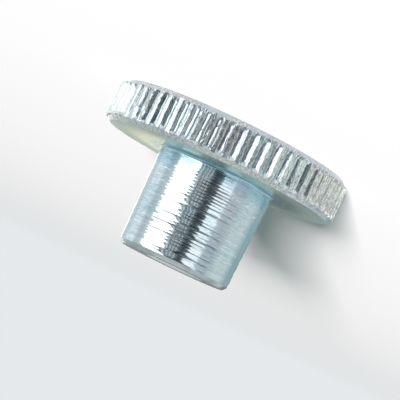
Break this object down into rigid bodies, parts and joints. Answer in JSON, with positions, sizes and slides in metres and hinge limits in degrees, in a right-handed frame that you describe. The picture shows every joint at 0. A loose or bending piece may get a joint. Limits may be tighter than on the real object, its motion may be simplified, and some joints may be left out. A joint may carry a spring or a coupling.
{
  "type": "knurled nut",
  "caption": "High-form knurled thumb nut: a thin straight-knurled disc head on a plain, slightly tapered collar, tapped through, bright zinc plated steel.",
  "frame": {"origin": "centre of the head's flat face, on the bore's axis; the nut stands on this face", "axes": "+Z along the bore, from the head's flat face towards the collar's end; +X through the crest of a knurl tooth"},
  "size_m": [0.02, 0.02, 0.0119],
  "materials": {
    "bright_zinc": "bright zinc plate with a blue clear passivation over turned and knurled steel"
  },
  "bodies": {
    "root": {"knurled_nut": "bright_zinc"}
  },
  "joints": []
}
